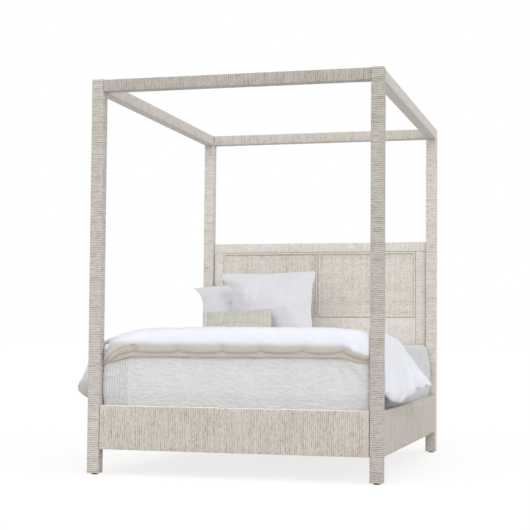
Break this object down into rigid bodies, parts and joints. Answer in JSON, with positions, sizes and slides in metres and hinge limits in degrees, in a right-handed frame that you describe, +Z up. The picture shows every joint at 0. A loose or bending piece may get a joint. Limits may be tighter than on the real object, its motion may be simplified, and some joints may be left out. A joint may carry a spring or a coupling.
{
  "type": "canopy bed with bedding",
  "caption": "Queen canopy bed with square rope-wrapped posts and rails, a panelled headboard, a mattress, a folded duvet over the foot end, pillows and a cushion.",
  "frame": {"origin": "on the floor under the middle of the bed", "axes": "+Z up, -Y towards the foot end, +Y towards the headboard, +X to the right seen from the foot"},
  "size_m": [1.8864, 2.155, 2.195],
  "materials": {
    "rope_post": "twisted natural rope wound round the posts",
    "rope_rail": "twisted natural rope wound round the canopy rails",
    "rope_board": "twisted natural rope wound round the boards and the headboard frame",
    "rope_panel": "woven natural rope cloth on the panels",
    "rope_bead": "natural rope trim",
    "core_wood": "sealed hardwood under the rope",
    "support_wood": "planed softwood",
    "stud_steel": "plain",
    "bracket_steel": "satin black",
    "glide_plastic": "matte",
    "foundation_cloth": "woven cover",
    "mattress_cloth": "knitted cover",
    "coverlet_cotton": "soft washed cotton, light grey",
    "duvet_cotton": "white cotton with a warm beige reverse",
    "pillow_cotton": "white cotton",
    "lumbar_linen": "heavy olive-beige linen"
  },
  "bodies": {
    "root": {"post_foot_left_core": "core_wood", "post_foot_left_rope": "rope_post", "glide_foot_left": "glide_plastic", "post_foot_right_core": "core_wood", "post_foot_right_rope": "rope_post", "glide_foot_right": "glide_plastic", "post_head_left_core": "core_wood", "post_head_left_rope": "rope_post", "glide_head_left": "glide_plastic", "post_head_right_core": "core_wood", "post_head_right_rope": "rope_post", "glide_head_right": "glide_plastic", "canopy_rail_foot_core": "core_wood", "canopy_rail_foot_rope": "rope_rail", "canopy_rail_head_core": "core_wood", "canopy_rail_head_rope": "rope_rail", "canopy_rail_left_core": "core_wood", "canopy_rail_left_rope": "rope_rail", "canopy_rail_right_core": "core_wood", "canopy_rail_right_rope": "rope_rail", "footboard_core": "core_wood", "footboard_rope": "rope_board", "side_rail_left_core": "core_wood", "side_rail_left_rope": "rope_board", "side_rail_right_core": "core_wood", "side_rail_right_rope": "rope_board", "headboard_top_rail_core": "core_wood", "headboard_top_rail_rope": "rope_board", "headboard_stile_left_core": "core_wood", "headboard_stile_left_rope": "rope_board", "headboard_stile_right_core": "core_wood", "headboard_stile_right_rope": "rope_board", "headboard_lower_board_core": "core_wood", "headboard_lower_board_rope": "rope_board", "headboard_panel_left": "rope_panel", "headboard_bead_left": "rope_bead", "ledger_left": "support_wood", "headboard_panel_right": "rope_panel", "headboard_bead_right": "rope_bead", "ledger_right": "support_wood", "centre_leg": "support_wood", "slats": "support_wood", "centre_beam": "support_wood", "leg_glide": "glide_plastic", "beam_hangers": "bracket_steel", "corner_brackets": "bracket_steel", "canopy_studs": "stud_steel", "board_studs": "stud_steel", "foundation": "foundation_cloth", "mattress": "mattress_cloth", "coverlet": "coverlet_cotton", "duvet": "duvet_cotton", "back_pillow": "pillow_cotton", "sham_pillow": "pillow_cotton", "lumbar_cushion": "lumbar_linen"}
  },
  "joints": []
}
